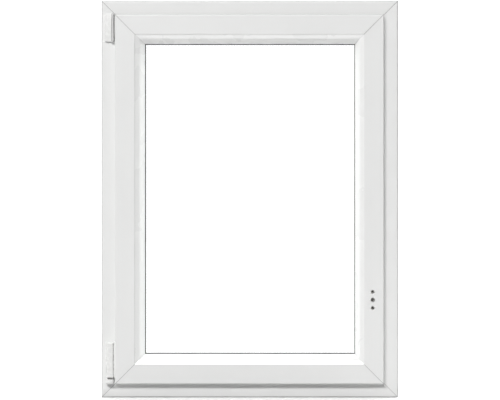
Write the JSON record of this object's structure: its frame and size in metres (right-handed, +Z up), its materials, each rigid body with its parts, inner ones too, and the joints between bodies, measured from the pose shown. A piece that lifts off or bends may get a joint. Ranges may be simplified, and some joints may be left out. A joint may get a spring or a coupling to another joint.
{
  "type": "tilt and turn window",
  "caption": "White plastic window: a mitred frame, an inward opening sash lapped over it, beads round double glazing, hinges on the left and a handle drilling on the right.",
  "frame": {"origin": "middle of the frame's bottom face, at mid-width and mid-depth of the frame", "axes": "+X to the right seen from the room, +Y from the room to outdoors, +Z up"},
  "size_m": [0.8, 0.0895, 1.07],
  "materials": {
    "white_upvc": "smooth satin extrusion",
    "bead_upvc": "smooth satin extrusion",
    "clear_glass": "clear float glass",
    "spacer_metal": "mill finish with black sealant",
    "black_rubber": "matt moulded rubber",
    "packer_plastic": "matt moulded plastic",
    "hinge_steel": "satin zinc plate",
    "white_lacquer": "smooth white lacquer",
    "gear_steel": "bright zinc plate"
  },
  "bodies": {
    "root": {"frame_bottom": "white_upvc", "frame_top": "white_upvc", "frame_left": "white_upvc", "frame_right": "white_upvc", "sash_bottom": "white_upvc", "sash_top": "white_upvc", "sash_left": "white_upvc", "sash_right": "white_upvc", "bead_bottom": "bead_upvc", "bead_top": "bead_upvc", "bead_left": "bead_upvc", "bead_right": "bead_upvc", "glass_inner": "clear_glass", "glass_outer": "clear_glass", "glass_spacer": "spacer_metal", "bead_gasket": "black_rubber", "outdoor_glass_gasket": "black_rubber", "frame_stop_gasket": "black_rubber", "sash_overlap_gasket": "black_rubber", "glazing_packers": "packer_plastic", "stay_bearing": "hinge_steel", "stay_cover": "white_lacquer", "stay_pin": "hinge_steel", "stay_knuckle": "hinge_steel", "corner_bearing": "white_lacquer", "corner_pin": "hinge_steel", "corner_knuckle": "white_lacquer", "drive_gear": "gear_steel", "drain_caps": "white_upvc"}
  },
  "joints": []
}
